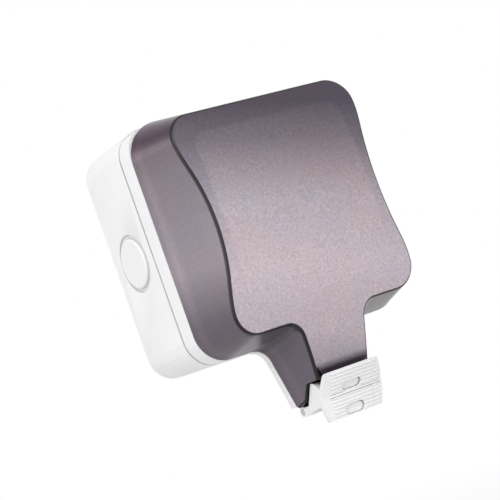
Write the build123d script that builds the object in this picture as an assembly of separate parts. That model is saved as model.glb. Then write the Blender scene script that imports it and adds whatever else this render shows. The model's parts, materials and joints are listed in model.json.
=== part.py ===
from build123d import *
import math
import os

# Weatherproof wall box with two network sockets under a hinged, latched cover.
# Millimetres. X is right as seen from the front, Z is up, the wall face lies on Y = 0
# and the front looks along -Y. The origin is the centre of the wall face.

# Back box
BOX_HALF = 48.5
BOX_DEPTH = 35.3
BOX_CORNER = 12.0
BOX_TAPER = 1.2
BOX_WALL = 2.6
BOX_FLOOR = 3.0
BOX_EDGE = 1.0
FIXING_PITCH_X = 60.3
FIXING_PITCH_Z = 50.0
FIXING_BORE = 4.6
FIXING_SLOT = 8.8
FIXING_HEAD = 8.4
FIXING_SINK = 1.2
LAP = 0.5
BEYOND = 2 * BOX_HALF

# Round knockouts in the four sides
KNOCKOUT_BORE = 20.0
KNOCKOUT_INSET = 17.0
KNOCKOUT_GROOVE = 1.8
KNOCKOUT_SINK = 0.8
KNOCKOUT_RISE = 0.7
KNOCKOUT_EDGE = 0.4

# Front plate
SEAM = 0.4
PLATE_OVERHANG = 0.3
PLATE_HALF = BOX_HALF + PLATE_OVERHANG
PLATE_CORNER = BOX_CORNER + PLATE_OVERHANG
PLATE_DEPTH = 8.3
PLATE_FRONT = 2.5
PLATE_WALL = 2.6
TRAY_CORNER = 6.0
TRAY_DEPTH = 12.0
TRAY_WALL = 2.2
UPSTAND_INSET = 4.8
UPSTAND_CORNER = 8.0
UPSTAND_WALL = 2.0
UPSTAND_RISE = 5.0

# Gasket and seal
GASKET_WIDTH = 1.3
GASKET_DEPTH = 1.6
SEAL_WIDTH = 1.6
SEAL_RISE = 1.6
SEAL_GAP = 0.6

# Cover: its rim on the plate, its waisted face, and the neck that narrows to the latch
RIM_GAP = 0.3
RIM_INSET = 0.4
RIM_HALF = PLATE_HALF - RIM_INSET
RIM_CORNER_TOP = 15.0
RIM_CORNER_LOW = 12.5
COVER_RISE = 27.3
CROWN_RADIUS = 210.0
FACE_LEAD = 1.2
TOP_DRAW = 5.6
LOW_DRAW = 5.7
LOBE_DRAW = 6.8
FLANK_DRAW = 8.65
WAIST_DRAW = 10.7
FLANK_DROP = 12.0
FACE_CORNER = 9.4
COVER_WALL = 2.2
COVER_EDGE = 1.2
RIM_NECK_TOP = 20.6
RIM_NECK_END = 15.2
NECK_LENGTH = 26.6
NECK_SIDE_DRAW = 6.4
NECK_END_DRAW = 9.5
NECK_FILLET = 7.0
NECK_CORNER = 1.2
STEP_RISE = 9.8
STEP_LIFT = 7.9
HEEL_RISE = 3.3
LIP_THICK = 1.8
LIP_DROP = 3.4
LIP_HALF = 9.0
RIB_THICK = 2.0

# Cover hinge
HINGE_SINK = 3.0
HINGE_INSET = 2.8
HINGE_PIN = 2.4
HINGE_KNUCKLE = 5.4
HINGE_LUG_X = 26.0
HINGE_LUG = 8.0
HINGE_EAR = 3.0
HINGE_RELIEF = 4.4
HINGE_END_INSET = 5.4
LUG_NECK = 2.8
TROUGH_WALL = 1.5
SIDE_GAP = 0.3
PIN_CLEAR = 0.05

# Tongue and latch
TONGUE_THICK = 3.5
TONGUE_ROOT = 8.0
TONGUE_GROW = 0.2
TONGUE_REACH = 1.9
TONGUE_BARREL = 4.2
TONGUE_HALF = 10.0
PIVOT_SINK = 1.6
LATCH_PIN = 2.5
LATCH_EYE = 4.4
LATCH_WEB = 2.2
LATCH_HALF_TOP = 12.6
LATCH_HALF_MID = 14.4
LATCH_THICK = 1.8
LATCH_TOP_RISE = 5.6
LATCH_MID_RISE = 0.4
LATCH_LOW_RISE = -1.8
LATCH_TOP_LIFT = 11.1
LATCH_MID_LIFT = 2.3
LATCH_LOW_LIFT = -7.0
LATCH_BULGE = 2.0
LATCH_CORNER = 1.0
LATCH_CLEAR = 0.4
LATCH_STIFFENER = 1.6
WEB_SHOULDER = 0.6
WEB_BEVEL = 1.6
WEB_NOTCH_DEPTH = 3.4
WEB_NOTCH_RISE = 2.4
PAD_RIBS = 6
PAD_MARGIN = 0.9
PAD_INSET = 2.6
RIB_RISE = 0.3
RIB_SLOPE = 0.2
RIB_WIDTH = 0.8
OVAL_LENGTH = 9.4
OVAL_WIDTH = 4.2
OVAL_SINK = 0.6
OVAL_LOW = 2.3
STRIKE_GAP = 0.3
STRIKE_THICK = 1.4

# Screws
SCREW_MARGIN = 1.0
SCREW_POST = 7.6
SCREW_SHANK = 3.4
SCREW_BITE = 0.2
SCREW_HEAD = 6.0
SCREW_HEAD_RISE = 1.8
SCREW_LENGTH = 16.0
SCREW_RUNOUT = 2.0
SCREW_CLEAR = 0.3
POST_RIB = 1.6
POST_RIB_DROP = 4.0

# Socket modules and the yoke that holds them
MODULE_WIDTH = 24.9
MODULE_HEIGHT = 49.8
MODULE_PITCH = 25.0
MODULE_FACE = 4.0
MODULE_SKIN = 1.5
MODULE_SHOULDER = 1.7
MODULE_BODY = MODULE_HEIGHT - 2 * MODULE_SHOULDER
MODULE_DEPTH = 12.0
MODULE_EDGE = 0.5
MODULE_CORE_WALL = 1.6
CLIP_HALF = 4.0
CLIP_REACH = 0.9
CLIP_THICK = 1.4
FIT_CLEAR = 0.15
YOKE_THICK = 3.0
YOKE_GAP = 0.2
YOKE_END = 3.9
YOKE_SIDE_GAP = 0.5
YOKE_CORNER = TRAY_CORNER - YOKE_SIDE_GAP
YOKE_END_GAP = 1.0
YOKE_LEDGE = 1.6
YOKE_LEDGE_THICK = 1.2
YOKE_SCREW_BORE = 1.9
YOKE_SCREW_HEAD = 3.4
YOKE_SCREW_RISE = 1.1
SHUTTER_THICK = 1.0
SHUTTER_SLOT = 1.3
SHUTTER_HALF = 7.6
SHUTTER_LAP = 0.7
SHUTTER_TRAVEL = 11.0
SHUTTER_GRIP = 2.0
GRIP_HALF = 5.0
GRIP_BAR = 0.8
WINDOW_HALF = 6.8
WINDOW_LOW = -7.4
WINDOW_HIGH = 6.2
SPRING_WIDTH = 2.4
SPRING_STRIP = 0.3
SPRING_FOLDS = 4
TAB_LOW = 5.0
TAB_HEIGHT = 1.2

# Network jacks
PORT_HALF = 5.95
PORT_LOW = -5.5
PORT_HEIGHT = 8.2
PORT_DEPTH = 14.0
NOTCH_HALF = 3.1
NOTCH_DROP = 1.6
JACK_HALF = 7.6
JACK_TOP = 7.6
JACK_LOW = -8.4
REAR_CLEAR = 3.1
CONTACT_COUNT = 8
CONTACT_PITCH = 1.02
CONTACT_WIRE = 0.45
CONTACT_SEAT = 0.03
CONTACT_SETBACK = 3.0
CONTACT_FREE = 4.5
CONTACT_DROP = 2.6
CAP_DEPTH = 7.0
CAP_HALF = 8.2
CAP_WALL = 1.2
CAP_CORNER = 1.0
TOWER_X = 5.0
TOWER_WALL = 2.6
TOWER_HALF_Z = 6.4
TOWER_RISE = 4.5
SLIT_COUNT = 4
SLIT = 0.6
CAP_SLIT = 1.4
SLIT_PITCH = 3.2
SLIT_FOOT = 1.0

# Levels along Y, as distances in front of the wall
KNOCKOUT_Y = BOX_DEPTH - KNOCKOUT_INSET
PLATE_BACK = BOX_DEPTH + SEAM
PLATE_FACE = PLATE_BACK + PLATE_DEPTH
RIM_Y = PLATE_FACE + RIM_GAP
CROWN_DEPTH = PLATE_FACE + COVER_RISE
FACE_PLANE = CROWN_DEPTH + FACE_LEAD
HINGE_Y = PLATE_FACE - HINGE_SINK
PIVOT_Y = PLATE_FACE - PIVOT_SINK
TONGUE_BACK = PLATE_FACE - TONGUE_THICK
TRAY_FACE = PLATE_FACE - TRAY_DEPTH
TRAY_BACK = TRAY_FACE - TRAY_WALL
YOKE_FACE = TRAY_FACE + YOKE_THICK
LEDGE_FACE = TRAY_FACE + YOKE_LEDGE_THICK
MODULE_FRONT = LEDGE_FACE + MODULE_FACE
MODULE_BACK = MODULE_FRONT - MODULE_DEPTH
SLOT_FRONT = MODULE_FRONT - MODULE_SKIN
SLOT_BACK = SLOT_FRONT - SHUTTER_SLOT
JACK_FRONT = SLOT_BACK - FIT_CLEAR
CAP_BACK = BOX_FLOOR + REAR_CLEAR
CAP_FRONT = CAP_BACK + CAP_DEPTH
JACK_BACK = CAP_FRONT + FIT_CLEAR

# Widths and heights that follow from the sizes above
LOBE_Z = min(RIM_HALF - RIM_CORNER_TOP, RIM_HALF - RIM_CORNER_LOW,
             RIM_HALF - TOP_DRAW - FACE_CORNER, RIM_HALF - LOW_DRAW - FACE_CORNER) - LAP
RIM_NECK_Z = -RIM_HALF - NECK_LENGTH
NOSE_Z = RIM_NECK_Z + NECK_END_DRAW
NECK_STEP = (PLATE_FACE + STEP_RISE, RIM_NECK_Z + STEP_LIFT)
NECK_HEEL = (PLATE_FACE + HEEL_RISE, RIM_NECK_Z)
HINGE_Z = PLATE_HALF - HINGE_INSET
HINGE_HALF = RIM_HALF - HINGE_END_INSET
UPSTAND_HALF = RIM_HALF - UPSTAND_INSET
UPSTAND_TOP = HINGE_Z - HINGE_RELIEF - SEAL_WIDTH - SEAL_GAP
SCREW_X = UPSTAND_HALF - UPSTAND_WALL - SCREW_MARGIN - SCREW_HEAD / 2
SCREW_Z_TOP = UPSTAND_TOP - UPSTAND_WALL - SCREW_MARGIN - SCREW_HEAD / 2
TRAY_HALF_X = SCREW_X - SCREW_POST / 2 - TRAY_WALL - SCREW_MARGIN + YOKE_SIDE_GAP
YOKE_HALF_X = TRAY_HALF_X - YOKE_SIDE_GAP
WINDOW_X = (MODULE_PITCH + MODULE_WIDTH) / 2 + FIT_CLEAR
WINDOW_Z = MODULE_HEIGHT / 2 + YOKE_GAP
YOKE_HALF_Z = WINDOW_Z + YOKE_END
TRAY_HALF_Z = YOKE_HALF_Z + YOKE_END_GAP
YOKE_SCREW_Z = (WINDOW_Z + YOKE_HALF_Z) / 2
TONGUE_Z = RIM_NECK_Z - TONGUE_REACH
NOSE_Y = CROWN_DEPTH - CROWN_RADIUS + math.sqrt(CROWN_RADIUS ** 2 - NOSE_Z ** 2)
LATCH_TOP = (NOSE_Y + LATCH_TOP_RISE, TONGUE_Z + LATCH_TOP_LIFT)
LATCH_MID = (NOSE_Y + LATCH_MID_RISE, TONGUE_Z + LATCH_MID_LIFT)
LATCH_LOW = (NOSE_Y + LATCH_LOW_RISE, TONGUE_Z + LATCH_LOW_LIFT)


def block(x0, x1, y0, y1, z0, z1):
    """A box between two depths in front of the wall."""
    size = (x1 - x0, y1 - y0, z1 - z0)
    return Pos((x0 + x1) / 2, -(y0 + y1) / 2, (z0 + z1) / 2) * Box(*size)


def front_plane(depth):
    """Sketch plane at a depth in front of the wall, with x right and y up."""
    return Plane(origin=(0, -depth, 0), x_dir=(1, 0, 0), z_dir=(0, -1, 0))


def rounded(half_x, low, high, corner, depth):
    """Rounded rectangle from low to high in Z, as a face at a depth."""
    face = RectangleRounded(2 * half_x, high - low, corner)
    return front_plane(depth) * Pos(0, (low + high) / 2) * face


def prism(half_x, low, high, corner, back, front):
    """Rounded rectangular prism between two depths."""
    return extrude(rounded(half_x, low, high, corner, back), amount=front - back)


def rod_x(radius, y, z, x0, x1):
    """Round bar along X."""
    return Pos((x0 + x1) / 2, -y, z) * Rot(0, 90, 0) * Cylinder(radius, x1 - x0)


def rod_y(radius, x, z, y0, y1):
    """Round bar along Y between two depths."""
    return Pos(x, -(y0 + y1) / 2, z) * Rot(90, 0, 0) * Cylinder(radius, y1 - y0)


def side_plane(x):
    """Sketch plane across X, with depth in front of the wall as x and height as y."""
    return Plane(origin=(x, 0, 0), x_dir=(0, -1, 0), z_dir=(-1, 0, 0))


def side_profile(points, x0, x1):
    """Polygon of (depth, height) points, extruded along X."""
    face = make_face(Polyline(*points, close=True))
    return extrude(side_plane(x1) * face, amount=x1 - x0)


def screw_places():
    """Centres of the four plate screws."""
    for z in (SCREW_Z_TOP, -SCREW_X):
        for x in (-SCREW_X, SCREW_X):
            yield x, z


def box_lean():
    """Draft angle of the box's sides, in degrees."""
    return math.degrees(math.atan(BOX_TAPER / BOX_DEPTH))


def knockout(turn):
    """Groove and raised disc of one knockout, turned to its side."""
    lean = box_lean()
    skin = BOX_HALF - BOX_TAPER * KNOCKOUT_INSET / BOX_DEPTH
    outer = KNOCKOUT_BORE / 2 + KNOCKOUT_GROOVE
    inner = KNOCKOUT_BORE / 2
    sink = Cylinder(outer, 2 * KNOCKOUT_SINK) - Cylinder(inner, 2 * KNOCKOUT_SINK)
    height = KNOCKOUT_RISE + LAP
    disc = Pos(0, 0, height / 2 - LAP) * Cylinder(inner, height)
    disc = chamfer(disc.edges().filter_by(GeomType.CIRCLE).sort_by(Axis.Z)[-1], KNOCKOUT_EDGE)
    place = Rot(0, turn, 0) * Pos(skin, -KNOCKOUT_Y, 0) * Rot(0, 0, lean) * Rot(0, 90, 0)
    return place * sink, place * disc


def make_back_box():
    rear_half = BOX_HALF - BOX_TAPER
    rear = rounded(rear_half, -rear_half, rear_half, BOX_CORNER - BOX_TAPER, 0)
    shell = extrude(rear, amount=BOX_DEPTH, taper=-box_lean())
    shell = chamfer(shell.faces().sort_by(Axis.Y)[-1].edges(), BOX_EDGE)
    mouth_half = BOX_HALF - BOX_WALL
    mouth_corner = BOX_CORNER - BOX_WALL
    drawn = BOX_TAPER * (BOX_DEPTH - BOX_FLOOR) / BOX_DEPTH
    floor_half = mouth_half - drawn
    floor = rounded(floor_half, -floor_half, floor_half, mouth_corner - drawn, BOX_FLOOR)
    shell -= extrude(floor, amount=BOX_DEPTH, taper=-box_lean())
    for x, z in screw_places():
        post = rod_y(SCREW_POST / 2, x, z, BOX_FLOOR - LAP, PLATE_BACK)
        rib_x = math.copysign(mouth_half + LAP, x)
        rib = block(min(x, rib_x), max(x, rib_x), BOX_FLOOR - LAP, PLATE_BACK - POST_RIB_DROP,
                    z - POST_RIB / 2, z + POST_RIB / 2)
        shell += post + rib
    for x, z in screw_places():
        shell -= rod_y(SCREW_SHANK / 2 - SCREW_BITE, x, z,
                       PLATE_FACE - SCREW_LENGTH - SCREW_RUNOUT, PLATE_BACK + LAP)
    rebate_half = mouth_half + GASKET_WIDTH
    rebate_back = BOX_DEPTH - GASKET_DEPTH
    shell -= prism(rebate_half, -rebate_half, rebate_half, mouth_corner + GASKET_WIDTH,
                   rebate_back, PLATE_BACK) - prism(mouth_half, -mouth_half, mouth_half,
                                                    mouth_corner, rebate_back, PLATE_BACK)
    slot = SlotOverall(FIXING_SLOT, FIXING_BORE)
    head_slot = SlotOverall(FIXING_SLOT + FIXING_HEAD - FIXING_BORE, FIXING_HEAD)
    for place in GridLocations(FIXING_PITCH_X, FIXING_PITCH_Z, 2, 2):
        shell -= extrude(front_plane(-LAP) * place * slot, amount=BOX_FLOOR + 2 * LAP)
        shell -= extrude(front_plane(BOX_FLOOR - FIXING_SINK) * place * head_slot,
                         amount=FIXING_SINK + LAP)
    for turn in (0, 90, 180, 270):
        sink, disc = knockout(turn)
        shell = shell - sink + disc
    return shell


def make_box_gasket():
    inner = BOX_HALF - BOX_WALL
    outer = inner + GASKET_WIDTH
    corner = BOX_CORNER - BOX_WALL
    back = BOX_DEPTH - GASKET_DEPTH
    ring = prism(outer, -outer, outer, corner + GASKET_WIDTH, back, PLATE_BACK)
    return ring - prism(inner, -inner, inner, corner, back, PLATE_BACK)


def neck_slope():
    """How much the rim's neck narrows on each side for each millimetre down."""
    return (RIM_NECK_TOP - RIM_NECK_END) / NECK_LENGTH


def make_front_plate():
    band = prism(PLATE_HALF, -PLATE_HALF, PLATE_HALF, PLATE_CORNER, PLATE_BACK, PLATE_FACE)
    wide = RIM_NECK_TOP + TONGUE_GROW + neck_slope() * TONGUE_ROOT
    narrow = RIM_NECK_END + TONGUE_GROW - neck_slope() * TONGUE_REACH
    inside = TONGUE_ROOT - RIM_HALF
    profile = Polyline((-wide, inside), (-narrow, TONGUE_Z), (narrow, TONGUE_Z), (wide, inside),
                       close=True)
    plate = band + extrude(front_plane(TONGUE_BACK) * make_face(profile), amount=TONGUE_THICK)
    roots = [e for e in plate.edges().filter_by(Axis.Y)
             if abs(e.center().Z + PLATE_HALF) < LAP and abs(e.center().X) < wide
             and abs(e.length - TONGUE_THICK) < LAP]
    plate = fillet(roots, NECK_FILLET)
    inner = PLATE_HALF - PLATE_WALL
    plate -= prism(inner, -inner, inner, PLATE_CORNER - PLATE_WALL,
                   PLATE_BACK - LAP, PLATE_FACE - PLATE_FRONT)

    # Tray for the sockets, open where the modules pass through its floor
    plate += prism(TRAY_HALF_X + TRAY_WALL, -TRAY_HALF_Z - TRAY_WALL, TRAY_HALF_Z + TRAY_WALL,
                   TRAY_CORNER + TRAY_WALL, TRAY_BACK, PLATE_FACE)
    plate -= prism(TRAY_HALF_X, -TRAY_HALF_Z, TRAY_HALF_Z, TRAY_CORNER, TRAY_FACE, PLATE_FACE + LAP)
    hole_z = YOKE_SCREW_Z - YOKE_SCREW_BORE / 2 - SCREW_MARGIN / 2
    plate -= block(-WINDOW_X - YOKE_GAP, WINDOW_X + YOKE_GAP, TRAY_BACK - LAP, TRAY_FACE + LAP,
                   -hole_z, hole_z)
    for end in (-1, 1):
        plate -= rod_y(YOKE_SCREW_BORE / 2, 0, end * YOKE_SCREW_Z, TRAY_BACK - LAP, TRAY_FACE + LAP)

    # Upstand that the seal is stretched round
    upstand = prism(UPSTAND_HALF, -UPSTAND_HALF, UPSTAND_TOP, UPSTAND_CORNER,
                    PLATE_FACE - LAP, PLATE_FACE + UPSTAND_RISE)
    upstand -= prism(UPSTAND_HALF - UPSTAND_WALL, UPSTAND_WALL - UPSTAND_HALF,
                     UPSTAND_TOP - UPSTAND_WALL, UPSTAND_CORNER - UPSTAND_WALL,
                     PLATE_FACE - LAP, PLATE_FACE + UPSTAND_RISE)
    plate += upstand

    # Screw bosses between plate and box posts
    for x, z in screw_places():
        plate += rod_y(SCREW_POST / 2, x, z, PLATE_BACK, PLATE_FACE - LAP)
    for x, z in screw_places():
        plate -= rod_y(SCREW_SHANK / 2 + SCREW_CLEAR, x, z, PLATE_BACK - LAP, PLATE_FACE + LAP)

    # Hinge trough, its ears and their bores
    trough = rod_x(HINGE_RELIEF + TROUGH_WALL, HINGE_Y, HINGE_Z,
                   -HINGE_HALF - TROUGH_WALL, HINGE_HALF + TROUGH_WALL)
    trough &= block(-BEYOND, BEYOND, PLATE_BACK, PLATE_FACE, 0, HINGE_Z)
    plate += trough
    plate -= rod_x(HINGE_RELIEF, HINGE_Y, HINGE_Z, -HINGE_HALF, HINGE_HALF)
    plate -= block(-HINGE_HALF, HINGE_HALF, HINGE_Y - HINGE_RELIEF, PLATE_FACE + LAP,
                   HINGE_Z, PLATE_HALF + LAP)
    ear_inner = HINGE_LUG / 2 + SIDE_GAP
    for side in (-1, 1):
        for start in (-ear_inner - HINGE_EAR, ear_inner):
            x0 = side * HINGE_LUG_X + start
            ear = rod_x(HINGE_KNUCKLE / 2, HINGE_Y, HINGE_Z, x0, x0 + HINGE_EAR)
            ear += block(x0, x0 + HINGE_EAR, HINGE_Y - HINGE_RELIEF - LAP, HINGE_Y,
                         HINGE_Z - HINGE_RELIEF - LAP, HINGE_Z)
            plate += ear
        reach = ear_inner + HINGE_EAR + LAP
        plate -= rod_x((HINGE_PIN + PIN_CLEAR) / 2, HINGE_Y, HINGE_Z,
                       side * HINGE_LUG_X - reach, side * HINGE_LUG_X + reach)

    # Latch barrel at the end of the tongue, with its corners cut away for the latch's feet
    notch_top = TONGUE_Z + LATCH_EYE / 2 + LATCH_CLEAR
    notches = block(-BEYOND, BEYOND, TONGUE_BACK - LAP, PLATE_FACE + LAP, -BEYOND, notch_top)
    notches -= block(-TONGUE_HALF, TONGUE_HALF, TONGUE_BACK - LAP, PLATE_FACE + LAP,
                     TONGUE_Z, notch_top)
    plate -= notches
    plate += rod_x(TONGUE_BARREL / 2, PIVOT_Y, TONGUE_Z, -TONGUE_HALF, TONGUE_HALF)
    plate -= rod_x((LATCH_PIN + PIN_CLEAR) / 2, PIVOT_Y, TONGUE_Z, -BEYOND, BEYOND)
    return plate


def make_cover_seal():
    half = UPSTAND_HALF
    low = -UPSTAND_HALF
    outer = prism(half + SEAL_WIDTH, low - SEAL_WIDTH, UPSTAND_TOP + SEAL_WIDTH,
                  UPSTAND_CORNER + SEAL_WIDTH, PLATE_FACE, PLATE_FACE + SEAL_RISE)
    return outer - prism(half, low, UPSTAND_TOP, UPSTAND_CORNER,
                         PLATE_FACE, PLATE_FACE + SEAL_RISE)


def cover_outline(sides, top, bottom, corners, neck_top, neck_end, neck_z, depth):
    """Square with waisted sides and a neck, as a face with as many edges at each depth.

    sides are the half widths at the lobes, the flanks and the waist, and corners the radii at
    the top and the bottom.
    """
    lobe, flank, waist = sides
    flank_z = LOBE_Z - FLANK_DROP
    right = [(lobe, -LOBE_Z), (flank, -flank_z), (waist, 0), (flank, flank_z), (lobe, LOBE_Z)]
    left = [(-x, -z) for x, z in right]
    lines = [
        Line((-neck_end, neck_z), (neck_end, neck_z)),
        Line((neck_end, neck_z), (neck_top, bottom)),
        Line((neck_top, bottom), (lobe, bottom)),
        Line((lobe, bottom), right[0]),
        Spline(*right, tangents=[(0, 1), (0, 1)]),
        Line(right[-1], (lobe, top)),
        Line((lobe, top), (-lobe, top)),
        Line((-lobe, top), left[0]),
        Spline(*left, tangents=[(0, -1), (0, -1)]),
        Line(left[-1], (-lobe, bottom)),
        Line((-lobe, bottom), (-neck_top, bottom)),
        Line((-neck_top, bottom), (-neck_end, neck_z)),
    ]
    face = make_face(Curve() + lines)
    face = fillet(nearest(face, [(-lobe, top), (lobe, top)]), corners[0])
    face = fillet(nearest(face, [(-lobe, bottom), (lobe, bottom)]), corners[1])
    face = fillet(nearest(face, [(-neck_top, bottom), (neck_top, bottom)]), NECK_FILLET)
    face = fillet(nearest(face, [(-neck_end, neck_z), (neck_end, neck_z)]), NECK_CORNER)
    return front_plane(depth) * face


def nearest(face, targets):
    """The vertices of a flat face that lie on the target points."""
    return [min(face.vertices(), key=lambda v: math.hypot(v.X - x, v.Y - y)) for x, y in targets]


def neck_end_cut(grow):
    """What the stepped end of the neck leaves free for the latch's arms."""
    front = FACE_PLANE + BEYOND
    low = NECK_HEEL[1] - BEYOND
    points = [(front, NOSE_Z), NECK_STEP, NECK_HEEL, (NECK_HEEL[0], low), (front, low)]
    face = make_face(Polyline(*points, close=True))
    if grow:
        face = offset(face, amount=grow, kind=Kind.INTERSECTION)
    return extrude(side_plane(0) * face, amount=BEYOND, both=True)


def cover_form(inset):
    """Solid outer form of the cover, or its void when it is inset by the wall."""
    half = RIM_HALF - inset
    rim = cover_outline((half, half + 0.02, half + 0.04), half, -half,
                        (RIM_CORNER_TOP - inset, RIM_CORNER_LOW - inset), RIM_NECK_TOP - inset,
                        RIM_NECK_END - inset, RIM_NECK_Z + inset, RIM_Y)
    corner = FACE_CORNER - inset
    face = cover_outline((half - LOBE_DRAW, half - FLANK_DRAW, half - WAIST_DRAW),
                         half - TOP_DRAW, LOW_DRAW - half, (corner, corner),
                         RIM_NECK_TOP - NECK_SIDE_DRAW - inset,
                         RIM_NECK_END - NECK_SIDE_DRAW - inset, NOSE_Z + inset, FACE_PLANE)
    form = loft([rim, face], ruled=True)
    crown = rod_x(CROWN_RADIUS - inset, CROWN_DEPTH - CROWN_RADIUS, 0, -BEYOND, BEYOND)
    return (form & crown) - neck_end_cut(inset)


def make_cover():
    outer = cover_form(0)
    front = outer.faces().sort_by(Axis.Y)[0]
    outer = fillet(front.edges(), COVER_EDGE)
    cover = outer - cover_form(COVER_WALL)
    # Sealing ribs across the hinge side and across the neck
    rib_y = PLATE_FACE + UPSTAND_RISE
    top_rib = UPSTAND_TOP + SEAL_WIDTH + SIDE_GAP
    low_rib = COVER_WALL - RIM_HALF
    ribs = block(-RIM_HALF, RIM_HALF, RIM_Y, rib_y, top_rib, top_rib + RIB_THICK)
    ribs += block(-RIM_NECK_TOP - COVER_WALL, RIM_NECK_TOP + COVER_WALL, RIM_Y, rib_y,
                  low_rib - RIB_THICK, low_rib)
    cover += outer & ribs

    # Catch lip that the latch closes over
    cover += block(-LIP_HALF, LIP_HALF, NOSE_Y - LIP_THICK, NOSE_Y, NOSE_Z - LIP_DROP, NOSE_Z + LAP)

    # Hinge lugs
    for side in (-1, 1):
        x0 = side * HINGE_LUG_X - HINGE_LUG / 2
        lug = rod_x(HINGE_KNUCKLE / 2, HINGE_Y, HINGE_Z, x0, x0 + HINGE_LUG)
        lug += block(x0, x0 + HINGE_LUG, HINGE_Y, RIM_Y + COVER_WALL / 2,
                     HINGE_Z - LUG_NECK / 2, HINGE_Z + LUG_NECK / 2)
        cover += lug
        cover -= rod_x(HINGE_PIN / 2 + PIN_CLEAR, HINGE_Y, HINGE_Z, x0 - LAP, x0 + HINGE_LUG + LAP)
    return cover


def make_hinge_pin(side):
    reach = HINGE_LUG / 2 + SIDE_GAP + HINGE_EAR
    return rod_x(HINGE_PIN / 2, HINGE_Y, HINGE_Z,
                 side * HINGE_LUG_X - reach, side * HINGE_LUG_X + reach)


def latch_point(start, end, share):
    """Point between two profile points."""
    return tuple(a + (b - a) * share for a, b in zip(start, end))


def ribbed(start, end):
    """Profile points of a pad whose ribs stand out in front of the line from start to end."""
    run = end[0] - start[0], end[1] - start[1]
    length = math.hypot(*run)
    along = run[0] / length, run[1] / length
    out = -along[1], along[0]
    pitch = (length - 2 * PAD_MARGIN - RIB_WIDTH) / (PAD_RIBS - 1)
    steps = ((0.0, 0.0), (RIB_SLOPE, RIB_RISE), (RIB_WIDTH - RIB_SLOPE, RIB_RISE), (RIB_WIDTH, 0.0))
    points = [start]
    for rib in range(PAD_RIBS):
        for reach, rise in steps:
            far = PAD_MARGIN + rib * pitch + reach
            points.append((start[0] + along[0] * far + out[0] * rise,
                           start[1] + along[1] * far + out[1] * rise))
    return points + [end]


def pad_oval(start, end):
    """Stadium-shaped sink low on a pad, with a floor below the pad's surface."""
    length = math.dist(start, end)
    middle = latch_point(start, end, 1 - OVAL_LOW / length)
    lean = math.degrees(math.atan2(start[0] - end[0], start[1] - end[1]))
    sink = extrude(SlotOverall(OVAL_LENGTH, OVAL_WIDTH), amount=OVAL_SINK, both=True)
    return Pos(0, -middle[0], middle[1]) * Rot(90 + lean, 0, 0) * sink


def latch_plate():
    """Bent plate with ribbed pads, cut to its bulging outline."""
    back = [(LATCH_LOW[0] - LATCH_THICK, LATCH_LOW[1]),
            (LATCH_MID[0] - LATCH_THICK, LATCH_MID[1]),
            (LATCH_TOP[0] - LATCH_THICK, LATCH_TOP[1])]
    plate = side_profile([LATCH_TOP, LATCH_MID, LATCH_LOW] + back, -BEYOND, BEYOND)
    rib_half = LATCH_HALF_TOP - PAD_INSET
    front = ribbed(LATCH_TOP, LATCH_MID) + ribbed(LATCH_MID, LATCH_LOW)[1:]
    plate += side_profile(front + back, -rib_half, rib_half)
    top, mid, low = LATCH_HALF_TOP, LATCH_HALF_MID, LATCH_LOW[1]
    bulge_z = LATCH_MID[1] - LATCH_BULGE
    lines = [
        Line((-top, LATCH_TOP[1]), (top, LATCH_TOP[1])),
        ThreePointArc((top, LATCH_TOP[1]), (mid, bulge_z), (top, low)),
        Line((top, low), (-top, low)),
        ThreePointArc((-top, low), (-mid, bulge_z), (-top, LATCH_TOP[1])),
    ]
    outline = make_face(Curve() + lines)
    outline = fillet(outline.vertices(), LATCH_CORNER)
    plate &= extrude(front_plane(0) * outline, amount=BEYOND)
    return plate - pad_oval(LATCH_TOP, LATCH_MID) - pad_oval(LATCH_MID, LATCH_LOW)


def make_latch():
    latch = latch_plate()
    back_top = (LATCH_TOP[0] - LATCH_THICK, LATCH_TOP[1])
    back_mid = (LATCH_MID[0] - LATCH_THICK, LATCH_MID[1])
    back_low = (LATCH_LOW[0] - LATCH_THICK, LATCH_LOW[1])

    # Strike bar that stands in front of the cover's lip
    strike_high = NOSE_Z - LIP_DROP + STRIKE_THICK - LATCH_CLEAR
    share = (LATCH_TOP[1] - strike_high) / (LATCH_TOP[1] - LATCH_MID[1])
    strike_front = latch_point(back_top, back_mid, share)[0] + LAP
    latch += block(-LIP_HALF, LIP_HALF, NOSE_Y + STRIKE_GAP, strike_front,
                   strike_high - STRIKE_THICK, strike_high)

    # Two webs from the plate back to the pivot
    heel = (NECK_HEEL[0] + LATCH_CLEAR, NECK_HEEL[1] - LATCH_CLEAR)
    step = (NECK_STEP[0] + LATCH_CLEAR / 2, NECK_STEP[1] - LATCH_CLEAR)
    lower = latch_point(back_mid, back_low, 0.55)
    notch = (lower[0] - WEB_NOTCH_DEPTH, lower[1] + WEB_NOTCH_RISE)
    web_points = [(PIVOT_Y, TONGUE_Z + LATCH_EYE / 2 - WEB_SHOULDER),
                  (heel[0] - WEB_SHOULDER, heel[1]), heel, step,
                  (step[0] + WEB_BEVEL, step[1] - LATCH_CLEAR / 2),
                  latch_point(back_top, back_mid, 0.75), LATCH_MID,
                  latch_point(LATCH_MID, LATCH_LOW, 0.5), lower, notch,
                  (PIVOT_Y, TONGUE_Z - LATCH_EYE / 2)]
    inner = TONGUE_HALF + SIDE_GAP
    for side in (-1, 1):
        x0 = min(side * inner, side * (inner + LATCH_WEB))
        latch += side_profile(web_points, x0, x0 + LATCH_WEB)
        latch += rod_x(LATCH_EYE / 2, PIVOT_Y, TONGUE_Z, x0, x0 + LATCH_WEB)
    latch += rod_x(LATCH_STIFFENER, step[0] + LATCH_CLEAR / 2,
                   step[1] - LATCH_STIFFENER - LATCH_CLEAR, -inner - LAP, inner + LAP)
    return latch - rod_x(LATCH_PIN / 2 + PIN_CLEAR, PIVOT_Y, TONGUE_Z, -BEYOND, BEYOND)


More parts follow.
